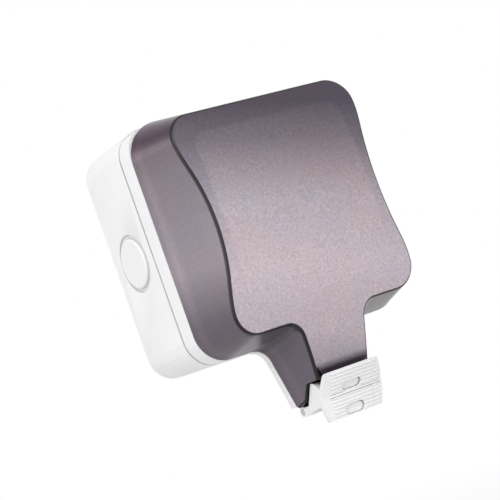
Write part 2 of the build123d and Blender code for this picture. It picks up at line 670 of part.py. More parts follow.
def make_latch_pin():
    reach = TONGUE_HALF + SIDE_GAP + LATCH_WEB
    return rod_x(LATCH_PIN / 2, PIVOT_Y, TONGUE_Z, -reach, reach)


def screw(head, rise, shank, length, x, z, seat):
    """Pan head screw with a cross recess, driven in from the front at a seat depth."""
    top = rod_y(head / 2, x, z, seat, seat + rise)
    top = chamfer(top.edges().filter_by(GeomType.CIRCLE).sort_by(Axis.Y)[0], rise * 0.4)
    body = top + rod_y(shank / 2, x, z, seat - length, seat)
    arm = head * 0.3
    slot = head * 0.09
    sink = seat + rise * 0.4
    body -= block(x - arm, x + arm, sink, seat + rise + 1, z - slot, z + slot)
    body -= block(x - slot, x + slot, sink, seat + rise + 1, z - arm, z + arm)
    return body


def make_plate_screws():
    return Compound([screw(SCREW_HEAD, SCREW_HEAD_RISE, SCREW_SHANK, SCREW_LENGTH, x, z, PLATE_FACE)
                     for x, z in screw_places()])


def make_frame_screws():
    length = YOKE_THICK + TRAY_WALL
    shank = YOKE_SCREW_BORE - 2 * PIN_CLEAR
    return Compound([screw(YOKE_SCREW_HEAD, YOKE_SCREW_RISE, shank, length,
                           0, end * YOKE_SCREW_Z, YOKE_FACE) for end in (-1, 1)])


def make_module_frame():
    yoke = prism(YOKE_HALF_X, -YOKE_HALF_Z, YOKE_HALF_Z, YOKE_CORNER, TRAY_FACE, YOKE_FACE)
    yoke -= block(-WINDOW_X, WINDOW_X, TRAY_FACE - LAP, YOKE_FACE + LAP, -WINDOW_Z, WINDOW_Z)
    for end in (-1, 1):
        edge = end * (WINDOW_Z + LAP)
        inner = end * (WINDOW_Z - YOKE_LEDGE)
        yoke += block(-WINDOW_X - LAP, WINDOW_X + LAP, TRAY_FACE, LEDGE_FACE,
                      min(edge, inner), max(edge, inner))
        yoke -= rod_y(YOKE_SCREW_BORE / 2, 0, end * YOKE_SCREW_Z, TRAY_FACE - LAP, YOKE_FACE + LAP)
    return yoke


def make_module_housing(side):
    x = side * MODULE_PITCH / 2
    half = MODULE_WIDTH / 2
    face_half = MODULE_HEIGHT / 2
    body_half = MODULE_BODY / 2
    face = block(x - half, x + half, LEDGE_FACE, MODULE_FRONT, -face_half, face_half)
    front = face.faces().sort_by(Axis.Y)[0]
    face = chamfer(front.edges(), MODULE_EDGE)
    body = block(x - half, x + half, MODULE_BACK, LEDGE_FACE + LAP, -body_half, body_half)
    housing = face + body
    for end in (-1, 1):
        root = end * (body_half - LAP)
        tip = end * (body_half + CLIP_REACH)
        housing += block(x - CLIP_HALF, x + CLIP_HALF, TRAY_FACE - FIT_CLEAR - CLIP_THICK,
                         TRAY_FACE - FIT_CLEAR, min(root, tip), max(root, tip))

    # Window, shutter slot and jack pocket
    housing -= block(x - WINDOW_HALF, x + WINDOW_HALF, SLOT_FRONT - LAP, MODULE_FRONT + LAP,
                     WINDOW_LOW, WINDOW_HIGH)
    slot_half = SHUTTER_HALF + FIT_CLEAR
    slot_low = WINDOW_LOW - SHUTTER_LAP - FIT_CLEAR
    slot_high = WINDOW_HIGH + SHUTTER_LAP + SHUTTER_TRAVEL + 2 * FIT_CLEAR
    housing -= block(x - slot_half, x + slot_half, SLOT_BACK, SLOT_FRONT, slot_low, slot_high)
    pocket = JACK_HALF + FIT_CLEAR
    housing -= block(x - pocket, x + pocket, MODULE_BACK - LAP, SLOT_BACK + LAP,
                     JACK_LOW - FIT_CLEAR, JACK_TOP + FIT_CLEAR)

    # Side groove for the spring, and cores that keep the walls even
    groove = sorted((x + side * (slot_half - LAP),
                     x + side * (slot_half + SPRING_WIDTH + 2 * FIT_CLEAR)))
    housing -= block(*groove, SLOT_BACK, SLOT_FRONT, WINDOW_LOW, slot_high)
    wall = MODULE_CORE_WALL
    for low, high in ((JACK_TOP + wall, body_half - wall), (wall - body_half, JACK_LOW - wall)):
        housing -= block(x - half + wall, x + half - wall, MODULE_BACK - LAP, SLOT_BACK - wall,
                         low, high)
    return housing


def make_port_shutter(side):
    x = side * MODULE_PITCH / 2
    back = SLOT_BACK + FIT_CLEAR
    low = WINDOW_LOW - SHUTTER_LAP
    panel = block(x - SHUTTER_HALF, x + SHUTTER_HALF, back, back + SHUTTER_THICK,
                  low, WINDOW_HIGH + SHUTTER_LAP)
    grip_low = WINDOW_LOW + FIT_CLEAR
    panel += block(x - GRIP_HALF, x + GRIP_HALF, back, SLOT_FRONT + FIT_CLEAR,
                   grip_low, grip_low + SHUTTER_GRIP)
    for z in (grip_low, grip_low + SHUTTER_GRIP - GRIP_BAR):
        panel += block(x - GRIP_HALF, x + GRIP_HALF, back, MODULE_FRONT - 2 * FIT_CLEAR,
                       z, z + GRIP_BAR)
    tab = sorted((x + side * (SHUTTER_HALF - LAP), x + side * (SHUTTER_HALF + SPRING_WIDTH)))
    panel += block(*tab, back, back + SHUTTER_THICK, TAB_LOW, TAB_LOW + TAB_HEIGHT)
    return panel


def make_shutter_spring(side):
    """Folded strip beside the shutter, from the groove's foot to the shutter's tab."""
    x = side * MODULE_PITCH / 2
    start = SHUTTER_HALF + 2 * FIT_CLEAR
    foot = WINDOW_LOW + SPRING_STRIP
    rise = (TAB_LOW - SPRING_STRIP - foot) / SPRING_FOLDS
    points = []
    for turn in range(SPRING_FOLDS + 1):
        reach = SPRING_WIDTH - SPRING_STRIP if turn % 2 else SPRING_STRIP
        points.append((x + side * (start + reach), foot + turn * rise))
    strip = trace(Polyline(*points), line_width=SPRING_STRIP)
    return extrude(front_plane(SLOT_BACK) * strip, amount=SHUTTER_SLOT)


def slit_places():
    """Heights of the slits that the cable's wires are pressed into."""
    for slit in range(SLIT_COUNT):
        yield (slit - (SLIT_COUNT - 1) / 2) * SLIT_PITCH


def make_jack_body(side):
    x = side * MODULE_PITCH / 2
    jack = block(x - JACK_HALF, x + JACK_HALF, JACK_BACK, JACK_FRONT, JACK_LOW, JACK_TOP)
    inside = JACK_FRONT - PORT_DEPTH
    jack -= block(x - PORT_HALF, x + PORT_HALF, inside, JACK_FRONT + LAP,
                  PORT_LOW, PORT_LOW + PORT_HEIGHT)
    jack -= block(x - NOTCH_HALF, x + NOTCH_HALF, inside, JACK_FRONT + LAP,
                  PORT_LOW - NOTCH_DROP, PORT_LOW + LAP)
    for end in (-1, 1):
        left = x + end * TOWER_X - TOWER_WALL / 2
        right = left + TOWER_WALL
        tower = block(left, right, JACK_BACK - TOWER_RISE, JACK_BACK + LAP,
                      -TOWER_HALF_Z, TOWER_HALF_Z)
        for z in slit_places():
            tower -= block(left - LAP, right + LAP, JACK_BACK - TOWER_RISE - LAP,
                           JACK_BACK - SLIT_FOOT, z - SLIT / 2, z + SLIT / 2)
        jack += tower
    return jack


def make_jack_contacts(side):
    """Eight hairpin wires that lean into the port from its ceiling."""
    x = side * MODULE_PITCH / 2
    wire = CONTACT_WIRE
    ceiling = PORT_LOW + PORT_HEIGHT - wire / 2 - CONTACT_SEAT
    rear = JACK_FRONT - PORT_DEPTH + CONTACT_SEAT
    front = JACK_FRONT - CONTACT_SETBACK
    line = Polyline((rear, ceiling), (front, ceiling), (rear + CONTACT_FREE, ceiling - CONTACT_DROP))
    profile = trace(line, line_width=wire)
    wires = []
    for index in range(CONTACT_COUNT):
        wire_x = x + (index - (CONTACT_COUNT - 1) / 2) * CONTACT_PITCH
        wires.append(extrude(side_plane(wire_x) * profile, amount=wire / 2, both=True))
    return Compound(wires)


def make_terminal_cap(side):
    x = side * MODULE_PITCH / 2
    cap = block(x - CAP_HALF, x + CAP_HALF, CAP_BACK, CAP_FRONT, JACK_LOW, JACK_TOP)
    cap = fillet(cap.edges().filter_by(Axis.Y), CAP_CORNER)
    cap -= block(x - CAP_HALF + CAP_WALL, x + CAP_HALF - CAP_WALL, CAP_BACK + CAP_WALL,
                 CAP_FRONT + LAP, JACK_LOW + CAP_WALL, JACK_TOP - CAP_WALL)
    for z in slit_places():
        cap -= block(x - CAP_HALF - LAP, x + CAP_HALF + LAP, CAP_FRONT - TOWER_RISE,
                     CAP_FRONT + LAP, z - CAP_SLIT / 2, z + CAP_SLIT / 2)
    return cap


def write(shape, name):
    export_step(shape, "parts/" + name + ".step")


if __name__ == "__main__":
    os.makedirs("parts", exist_ok=True)
    write(make_back_box(), "back_box")
    write(make_box_gasket(), "box_gasket")
    write(make_front_plate(), "front_plate")
    write(make_cover_seal(), "cover_seal")
    write(make_cover(), "cover")
    write(make_hinge_pin(-1), "hinge_pin_left")
    write(make_hinge_pin(1), "hinge_pin_right")
    write(make_latch(), "latch")
    write(make_latch_pin(), "latch_pin")
    write(make_plate_screws(), "plate_screws")
    write(make_module_frame(), "module_frame")
    write(make_frame_screws(), "frame_screws")
    for side, name in ((-1, "left"), (1, "right")):
        write(make_module_housing(side), "module_housing_" + name)
        write(make_port_shutter(side), "port_shutter_" + name)
        write(make_shutter_spring(side), "shutter_spring_" + name)
        write(make_jack_body(side), "jack_body_" + name)
        write(make_jack_contacts(side), "jack_contacts_" + name)
        write(make_terminal_cap(side), "terminal_cap_" + name)
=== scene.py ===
import json
import math

import bmesh
import bpy
from mathutils import Matrix, Vector

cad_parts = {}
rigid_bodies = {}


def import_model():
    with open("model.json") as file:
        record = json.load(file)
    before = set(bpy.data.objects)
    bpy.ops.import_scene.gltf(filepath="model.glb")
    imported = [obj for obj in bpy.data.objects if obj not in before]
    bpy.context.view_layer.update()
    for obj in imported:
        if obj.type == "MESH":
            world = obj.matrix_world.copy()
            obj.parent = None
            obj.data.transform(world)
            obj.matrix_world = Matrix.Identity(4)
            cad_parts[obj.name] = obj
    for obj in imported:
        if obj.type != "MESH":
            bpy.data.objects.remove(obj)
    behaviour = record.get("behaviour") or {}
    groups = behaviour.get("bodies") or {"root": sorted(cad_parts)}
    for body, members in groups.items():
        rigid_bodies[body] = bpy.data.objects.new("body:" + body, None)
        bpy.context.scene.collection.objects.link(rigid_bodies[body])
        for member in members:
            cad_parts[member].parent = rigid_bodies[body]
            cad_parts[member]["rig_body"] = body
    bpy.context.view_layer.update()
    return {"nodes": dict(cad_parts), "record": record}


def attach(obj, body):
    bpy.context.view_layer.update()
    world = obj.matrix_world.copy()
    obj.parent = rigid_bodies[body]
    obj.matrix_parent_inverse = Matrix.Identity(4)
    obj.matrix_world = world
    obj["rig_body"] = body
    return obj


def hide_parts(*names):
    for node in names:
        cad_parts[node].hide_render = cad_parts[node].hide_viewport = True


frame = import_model()

# Camera, as fitted to the photograph: place and aim in metres, roll in degrees, lens and sensor
# in millimetres
CAMERA_PLACE = Vector((-0.39317, -0.65415, -0.07062))
CAMERA_AIM = Vector((0.01186, -0.00676, -0.00666))
CAMERA_ROLL = 19.64
CAMERA_LENS = 132.8
SENSOR = 36.0
CLIP_START = 0.01
CLIP_END = 50

# Studio: a pale floor that turns white between two distances, and a white room that lights less
# than it shows
FLOOR_Z = -0.16
FLOOR_SIZE = 6.0
FLOOR_SHADE = 0.80
FLOOR_ROUGHNESS = 0.9
FLOOR_GLOW = 0.80
WHITE_START = 0.10
WHITE_END = 0.60
ROOM_LIGHT = 0.62
SEEN = ("Is Camera Ray", "Is Glossy Ray", "Is Transmission Ray")

# Soft lamps: name, place, aim, size in metres and power in watts
LAMPS = (
    ("key", (-0.7, -1.1, 0.9), (0, -0.03, -0.01), 0.9, 10.2),
    ("side", (-1.2, -0.2, 0.1), (0, -0.03, -0.01), 0.8, 3.0),
    ("low", (0.3, -1.1, -0.10), (0, -0.03, -0.03), 0.5, 2.0),
)

# Colours
PLAIN = (1.0, 1.0, 1.0)
WHITE = (0.88, 0.875, 0.885)
LATCH_WHITE = (0.885, 0.875, 0.88)
MODULE_WHITE = (0.80, 0.80, 0.81)
CAP_WHITE = (0.66, 0.66, 0.67)
SHUTTER_GREY = (0.45, 0.46, 0.48)
JACK_BLACK = (0.020, 0.020, 0.022)
RUBBER = (0.020, 0.020, 0.022)
STEEL = (0.56, 0.56, 0.58)
GOLD = (0.80, 0.58, 0.22)

# Noise: the part of its range that takes a colour from dark to light, and how far it takes the
# roughness down and up
NOISE_SPREAD = (0.3, 0.7)
GLOSS_MORE = 0.06
GLOSS_LESS = 0.08

# Moulded plastic: how fine its mottling and its uneven gloss are, and how far the mottling dims
MOTTLE_SCALE = 55.0
MOTTLE_DIM = 0.975
GLOSS_SCALE = 160.0
PLASTIC_IOR = 1.49

# Rubber, and the streaks of metal, which are drawn out along Y on the steel
RUBBER_MOTTLE_SCALE = 90.0
RUBBER_SHADES = (0.8, 1.4)
RUBBER_GLOSS_SCALE = 400.0
RUBBER_ROUGHNESS = (0.62, 0.78)
STREAK_SCALE = 900.0
STREAK_DIM = 0.85
STREAK_STRENGTH = 0.15
STREAK_DEPTH = 0.00001
ALONG_Y = (1.0, 0.1, 1.0)

# Relief of a surface: scale and detail of its noise, strength, and depth in metres
MOULDED_RELIEF = (1400.0, 2.0, 0.35, 0.00002)
MODULE_RELIEF = (2600.0, 2.0, 0.35, 0.000008)
RUBBER_RELIEF = (1800.0, 3.0, 0.3, 0.00002)
SMOKED_RELIEF = (900.0, 3.0, 0.3, 0.00003)

# Painted shade in crevices: how far it reaches, its darkest shade, and the openness where it
# starts and ends
CREVICE_PAINTED_SHADE = (0.0014, 0.12, 0.25, 0.78)
LATCH_CREVICE_PAINTED_SHADE = (0.0014, 0.08, 0.46, 0.64)
CREVICE_SAMPLES = 6

# Smoked cover: thin and warm where the pale parts lie close behind it, dense and cool where
# they lie deep. The mix by height is also painted light and shade: the face is painted dark at
# the top and light lower down, and the walls darker on the undersides low down. Heights are in
# metres and lean with X, and each comes with the thin tint's share.
SMOKE_DENSE_SHADED = (0.058, 0.041, 0.068)
SMOKE_THIN_LIT = (0.675, 0.580, 0.625)
SMOKE_LEAN = 0.2
FACE_PAINTED_LIGHT = ((-0.066, 0.60), (-0.050, 0.90), (-0.026, 1.00),
             (0.000, 0.78), (0.026, 0.24), (0.042, 0.05))
WALL_PAINTED_LIGHT = ((-0.062, 0.16), (-0.043, 0.15), (-0.034, 0.30),
             (-0.022, 0.50), (0.024, 0.31), (0.040, 0.28))

# How much light goes through the smoked plastic, and its gloss on the walls and on the face
SMOKE_CLEAR = 0.22
SMOKE_IOR = 1.5
SMOKE_SPECULAR = 0.35
WALL_ROUGHNESS = 0.28
FACE_ROUGHNESS = 0.42

# Faint warm and cool casts over the smoked plastic, and its grain: the darkest and the lightest
# speck, on the walls and on the face
CAST_SCALE = 38.0
CAST_DETAIL = 2.0
CAST_SPREAD = (0.38, 0.62)
COOL_CAST = (0.970, 0.995, 1.035)
WARM_CAST = (1.020, 0.990, 0.980)
GRAIN_SCALE = 1100.0
GRAIN_DETAIL = 4.0
GRAIN_ROUGHNESS = 0.7
GRAIN_SPREAD = (0.30, 0.66)
WALL_GRAIN = (0.84, 1.05)
FACE_GRAIN = (0.735, 1.155)

# The face is told from the walls by how far the surface looks to the front
FACE_FRONT = (0.82, 0.93)
WALL_FRONT = (0.60, 0.48)

# Painted shade: a dark line along the face's rounded edge. How squarely the surface lies to the
# crown where the line comes in and goes out, the crown's radius and top, and the depths below the
# crown between which the line starts on the wall
EDGE_PAINTED_SHADE = (0.060, 0.035, 0.060)
EDGE_IN = (0.42, 0.49)
EDGE_OUT = (0.955, 0.985)
CROWN_RADIUS = 0.210
CROWN_DEPTH = 0.0713
LINE_DARK = 0.0009
LINE_CLEAR = 0.0016

# Painted shade at the end of the face above the latch, between two heights
NOSE_CLEAR = -0.0612
NOSE_DARK = -0.0642

# Painted light: a paler foot of the walls, by the distance in front of the wall that the box
# hangs on
FOOT_PAINTED_LIGHT = (1.22, 1.20, 1.19)
FOOT_BACK = 0.0455
FOOT_MIDDLE = 0.0480
FOOT_FRONT = 0.0515

# Painted reflection: the light and dark bands that the walls take on as they turn upward, by the
# upward share of their normal, and the heights between which it comes in
CORNER_PAINTED_REFLECTION = (
    (0.00, (0.80, 0.79, 0.80)),
    (0.10, (0.97, 0.95, 0.97)),
    (0.22, (0.88, 0.84, 0.88)),
    (0.35, (0.42, 0.36, 0.43)),
    (0.50, (0.20, 0.08, 0.20)),
    (0.88, (0.20, 0.08, 0.20)),
    (1.00, (0.47, 0.40, 0.47)),
)
CORNER_LOW = 0.024
CORNER_HIGH = 0.036

# Painted shade round the flat field inside the face, with its rounded corners, and where the
# shade round it fades
PANEL_PAINTED_SHADE = (0.80, 0.82, 0.86)
PANEL_X = 0.0345
PANEL_TOP = 0.0356
PANEL_LOW = -0.0345
PANEL_CORNER = 0.007
PANEL_SOFT = 0.0007
PANEL_FADE_HIGH = 0.012
PANEL_FADE_LOW = -0.026
PANEL_FADE = 0.9

# Shadow gap between box and plate: a step round the box's front edge, and how far the plate's
# rim is drawn in to lie flush with the box
SEAM_BACK = -0.0353
SEAM_STEP = 0.0007
PLATE_EDGE = 0.0488
PLATE_CORNER = 0.0123
PLATE_FLUSH = 0.0003

# The box's front edge turns by more than this, in radians, and points that lie closer than these,
# in metres, count as level or as on a surface
RIM_TURN = 1.0
SAME_LEVEL = 0.00001
SAME_PLACE = 0.00002

# Latch pads, as (distance in front of the wall, height), half the latch's width at its ends, and
# how far its sides bulge
LATCH_TOP = (0.066424, -0.0658)
LATCH_MID = (0.061224, -0.0746)
LATCH_LOW = (0.059024, -0.0839)
LATCH_HALF_TOP = 0.0126
LATCH_BULGE = 0.0017

# Ribs across the pads, which stop short of the right edge, and the ridge below the fold
PAD_RIBS = 6
PAD_MARGIN = 0.0009
RIB_WIDTH = 0.0008
RIB_RISE = 0.00027
RIB_START = 0.0085
EDGE_MARGIN = 0.0003
RIDGE_START = -0.0112
RIDGE_WIDTH = 0.0009
RIDGE_RISE = 0.00042
BAR_STEPS = 6
BAR_SEAT = 0.0001
BAR_TIP = 0.2

# Ovals in the pads: depth of their floors, how much deeper they are sunk, and the distance from
# the latch's middle that they keep within
OVAL_SINK = 0.0006
OVAL_DEEPER = 0.00045
OVAL_REACH = 0.0049

# How far edges are rounded, in metres
EDGE_ROUND = {
    "back_box": 0.00018,
    "front_plate": 0.00018,
    "module_frame": 0.00025,
}
EDGE_ROUND_ELSEWHERE = 0.00012
ROUND_STEPS = 2

# Points closer than this, in metres, are joined. Angles, in degrees: faces that turn by less are
# joined, edges that turn by more are rounded, and those that turn by more are shaded sharp.
WELD = 0.000002
FLAT_ANGLE = 0.5
ROUND_ANGLE = 40
SHARP_ANGLE = 35
RIB_SHARP_ANGLE = 50

# Sockets of the nodes that mix colours and shaders
MIX_FIRST = 6
MIX_SECOND = 7
MIX_RESULT = 2
SHADER_FIRST = 1
SHADER_SECOND = 2


def shade(colour, factor):
    return tuple(channel * factor for channel in colour)


class Nodes:
    """Short way to build the node tree of a material or a world."""

    def __init__(self, owner):
        owner.use_nodes = True
        self.owner = owner
        self.tree = owner.node_tree
        self.shader = self.tree.nodes.get("Principled BSDF")

    def add(self, kind, **values):
        node = self.tree.nodes.new(kind)
        for key, value in values.items():
            if hasattr(node, key):
                setattr(node, key, value)
            else:
                node.inputs[key.replace("_", " ")].default_value = value
        return node

    def link(self, source, target):
        self.tree.links.new(source, target)

    def set(self, **values):
        for key, value in values.items():
            self.shader.inputs[key.replace("_", " ")].default_value = value

    def place(self):
        return self.add("ShaderNodeTexCoord").outputs["Object"]

    def normal(self):
        return self.add("ShaderNodeTexCoord").outputs["Normal"]

    def split(self, vector):
        node = self.add("ShaderNodeSeparateXYZ")
        self.link(vector, node.inputs["Vector"])
        return node.outputs["X"], node.outputs["Y"], node.outputs["Z"]

    def noise(self, scale, detail=3.0, roughness=0.55, where=None):
        node = self.add("ShaderNodeTexNoise", Scale=scale, Detail=detail, Roughness=roughness)
        self.link(where or self.place(), node.inputs["Vector"])
        return node.outputs["Fac"]

    def math(self, operation, *values):
        node = self.add("ShaderNodeMath", operation=operation)
        for socket, value in zip(node.inputs, values):
            if isinstance(value, float):
                socket.default_value = value
            else:
                self.link(value, socket)
        return node.outputs["Value"]

    def span(self, source, **bounds):
        node = self.add("ShaderNodeMapRange", **bounds)
        self.link(source, node.inputs["Value"])
        return node.outputs["Result"]

    def fit(self, source, low, high):
        """Nought at one value and one at the other."""
        return self.span(source, From_Min=low, From_Max=high)

    def levels(self, source, low, high):
        """One value at nought and the other at one."""
        return self.span(source, To_Min=low, To_Max=high)

    def tint(self, colour):
        node = self.add("ShaderNodeRGB")
        node.outputs["Color"].default_value = (*colour, 1.0)
        return node.outputs["Color"]

    def ramp(self, source, stops):
        node = self.add("ShaderNodeValToRGB")
        elements = node.color_ramp.elements
        while len(elements) < len(stops):
            elements.new(0.5)
        for element, (position, colour) in zip(elements, stops):
            element.position = position
            element.color = (*colour, 1.0)
        self.link(source, node.inputs["Fac"])
        return node.outputs["Color"]

    def fade(self, source, first, second, start=0.0, end=1.0):
        """Goes from one colour to another as a value goes from start to end."""
        return self.ramp(source, [(start, first), (end, second)])

    def blend(self, share, first, second, kind="MIX"):
        node = self.add("ShaderNodeMix", data_type="RGBA", blend_type=kind)
        if share is None:
            node.inputs["Factor"].default_value = 1.0
        else:
            self.link(share, node.inputs["Factor"])
        self.link(first, node.inputs[MIX_FIRST])
        self.link(second, node.inputs[MIX_SECOND])
        return node.outputs[MIX_RESULT]

    def multiply(self, first, *others):
        for other in others:
            first = self.blend(None, first, other, kind="MULTIPLY")
        return first

    def bump(self, height, strength, distance):
        node = self.add("ShaderNodeBump", Strength=strength, Distance=distance)
        self.link(height, node.inputs["Height"])
        self.link(node.outputs["Normal"], self.shader.inputs["Normal"])

    def relief(self, scale, detail, strength, depth):
        self.bump(self.noise(scale, detail), strength, depth)

    def uneven_gloss(self, source, roughness):
        self.link(self.levels(source, roughness - GLOSS_MORE, roughness + GLOSS_LESS),
                  self.shader.inputs["Roughness"])

    def seen(self):
        """One for rays that show a thing, and nought for those that only light it."""
        path = self.add("ShaderNodeLightPath")
        total = path.outputs[SEEN[0]]
        for kind in SEEN[1:]:
            total = self.math("MAXIMUM", total, path.outputs[kind])
        return total


def new_material(name):
    return Nodes(bpy.data.materials.new(name))


def moulded_plastic(name, colour, roughness, relief=MOULDED_RELIEF, crevice_shade=CREVICE_PAINTED_SHADE):
    """Plain moulded plastic: faint mottling, uneven gloss, a fine grain and painted shade in its
    crevices.
    """
    mat = new_material(name)
    tint = mat.fade(mat.noise(MOTTLE_SCALE), shade(colour, MOTTLE_DIM), colour, *NOISE_SPREAD)
    reach, darkest, start, end = crevice_shade
    # Painted shade: the colour darkens where nearby surfaces close in
    nearby = mat.add("ShaderNodeAmbientOcclusion", samples=CREVICE_SAMPLES, Distance=reach)
    painted_shade = mat.fade(nearby.outputs["AO"], shade(PLAIN, darkest), PLAIN, start, end)
    mat.link(mat.multiply(tint, painted_shade), mat.shader.inputs["Base Color"])
    mat.uneven_gloss(mat.noise(GLOSS_SCALE), roughness)
    mat.relief(*relief)
    mat.set(IOR=PLASTIC_IOR)
    return mat.owner


def rubber(name):
    mat = new_material(name)
    dark, light = (shade(RUBBER, factor) for factor in RUBBER_SHADES)
    mat.link(mat.fade(mat.noise(RUBBER_MOTTLE_SCALE), dark, light, *NOISE_SPREAD),
             mat.shader.inputs["Base Color"])
    mat.link(mat.levels(mat.noise(RUBBER_GLOSS_SCALE), *RUBBER_ROUGHNESS),
             mat.shader.inputs["Roughness"])
    mat.relief(*RUBBER_RELIEF)
    return mat.owner


def metal(name, colour, roughness, stretch=PLAIN):
    """Plated metal with fine streaks, drawn out along an axis whose scale is under one."""
    mat = new_material(name)
    scale = mat.add("ShaderNodeMapping", Scale=stretch)
    mat.link(mat.place(), scale.inputs["Vector"])
    streaks = mat.noise(STREAK_SCALE, where=scale.outputs["Vector"])
    mat.link(mat.fade(streaks, shade(colour, STREAK_DIM), colour, *NOISE_SPREAD),
             mat.shader.inputs["Base Color"])
    mat.uneven_gloss(streaks, roughness)
    mat.set(Metallic=1.0)
    mat.bump(streaks, STREAK_STRENGTH, STREAK_DEPTH)
    return mat.owner


def paint_smoke_light(mat, height, shares):
    """Mixes the dense and the thin tint of the smoked plastic by height, as painted light and
    shade.
    """
    low, high = shares[0][0], shares[-1][0]
    stops = [((place - low) / (high - low), shade(PLAIN, share)) for place, share in shares]
    return mat.blend(mat.ramp(mat.fit(height, low, high), stops), mat.tint(SMOKE_DENSE_SHADED),
                     mat.tint(SMOKE_THIN_LIT))


def panel_mask(mat, x, z):
    """One inside a rounded field on the cover's face and nought outside it."""
    side = mat.math("ABSOLUTE", x)
    beyond_x = mat.math("MAXIMUM", mat.math("SUBTRACT", side, PANEL_X - PANEL_CORNER), 0.0)
    middle = (PANEL_TOP + PANEL_LOW) / 2
    half = (PANEL_TOP - PANEL_LOW) / 2
    rise = mat.math("ABSOLUTE", mat.math("SUBTRACT", z, middle))
    beyond_z = mat.math("MAXIMUM", mat.math("SUBTRACT", rise, half - PANEL_CORNER), 0.0)
    squares = mat.math("ADD", mat.math("POWER", beyond_x, 2.0), mat.math("POWER", beyond_z, 2.0))
    reach = mat.math("SQRT", squares)
    inside = mat.fit(reach, PANEL_CORNER + PANEL_SOFT, PANEL_CORNER - PANEL_SOFT)
    faded = mat.math("MULTIPLY", mat.fit(z, PANEL_FADE_HIGH, PANEL_FADE_LOW), PANEL_FADE)
    return mat.math("MAXIMUM", inside, faded)


def wall_tint(mat, lean, depth, z, up):
    """The cover's walls: painted light and shade by height, a painted pale foot where the plate
    shows through, and a painted reflection at the upper corners.
    """
    # Painted light: the walls are brighter at their foot
    foot = mat.math("MINIMUM", mat.fit(depth, FOOT_BACK, FOOT_MIDDLE),
                    mat.fit(depth, FOOT_FRONT, FOOT_MIDDLE))
    # Painted reflection on the walls' upper corners
    corner = mat.blend(mat.fit(z, CORNER_LOW, CORNER_HIGH), mat.tint(PLAIN),
                       mat.ramp(up, CORNER_PAINTED_REFLECTION))
    return mat.multiply(paint_smoke_light(mat, lean, WALL_PAINTED_LIGHT), mat.fade(foot, PLAIN, FOOT_PAINTED_LIGHT), corner)


def paint_edge_shade(mat, depth, z, up, front):
    """The painted dark line along the face's rounded edge, which starts a little way down the
    wall.
    """
    slope = mat.math("DIVIDE", z, CROWN_RADIUS)
    flat = mat.math("SQRT", mat.math("SUBTRACT", 1.0, mat.math("POWER", slope, 2.0)))
    square = mat.math("ADD", mat.math("MULTIPLY", front, flat), mat.math("MULTIPLY", up, slope))
    crown = mat.math("ADD", mat.math("MULTIPLY", flat, CROWN_RADIUS), CROWN_DEPTH - CROWN_RADIUS)
    below = mat.math("SUBTRACT", crown, depth)
    on_wall = mat.math("MULTIPLY", mat.fit(below, LINE_CLEAR, LINE_DARK),
                       mat.fit(front, *WALL_FRONT))
    on_edge = mat.ramp(square, [(EDGE_IN[0], PLAIN), (EDGE_IN[1], EDGE_PAINTED_SHADE),
                                (EDGE_OUT[0], EDGE_PAINTED_SHADE), (EDGE_OUT[1], PLAIN)])
    return mat.multiply(on_edge, mat.fade(on_wall, PLAIN, EDGE_PAINTED_SHADE))


def smoked_plastic(name):
    """Smoked plastic: a frosted face and glossy walls, with painted light and shade by height, a
    painted reflection at the walls' upper corners and a painted dark line along the edge between.
    """
    mat = new_material(name)
    x, y, z = mat.split(mat.place())
    _, back, up = mat.split(mat.normal())
    front = mat.math("MULTIPLY", back, -1.0)
    depth = mat.math("MULTIPLY", y, -1.0)
    lean = mat.math("ADD", mat.math("MULTIPLY", x, SMOKE_LEAN), z)
    is_face = mat.fit(front, *FACE_FRONT)

    # Painted light and shade on the face: light low down, dark at the top, darker round its field
    face = mat.multiply(paint_smoke_light(mat, lean, FACE_PAINTED_LIGHT),
                        mat.fade(panel_mask(mat, x, z), PANEL_PAINTED_SHADE, PLAIN))
    tint = mat.blend(is_face, wall_tint(mat, lean, depth, z, up), face)
    # Painted shade: the face darkens at its end above the latch
    nose = mat.math("MULTIPLY", mat.fit(z, NOSE_CLEAR, NOSE_DARK), is_face)
    cast = mat.fade(mat.noise(CAST_SCALE, CAST_DETAIL), COOL_CAST, WARM_CAST, *CAST_SPREAD)
    grain = mat.noise(GRAIN_SCALE, GRAIN_DETAIL, GRAIN_ROUGHNESS)
    wall_specks, face_specks = (
        mat.fade(grain, shade(PLAIN, dark), shade(PLAIN, light), *GRAIN_SPREAD)
        for dark, light in (WALL_GRAIN, FACE_GRAIN))
    # Painted shade along the face's edge and at its end above the latch
    tint = mat.multiply(tint, paint_edge_shade(mat, depth, z, up, front),
                        mat.fade(nose, PLAIN, EDGE_PAINTED_SHADE), cast,
                        mat.blend(is_face, wall_specks, face_specks))
    mat.link(tint, mat.shader.inputs["Base Color"])

    mat.link(mat.levels(is_face, WALL_ROUGHNESS, FACE_ROUGHNESS), mat.shader.inputs["Roughness"])
    mat.set(IOR=SMOKE_IOR, Specular_IOR_Level=SMOKE_SPECULAR, Transmission_Weight=SMOKE_CLEAR)
    mat.relief(*SMOKED_RELIEF)
    return mat.owner


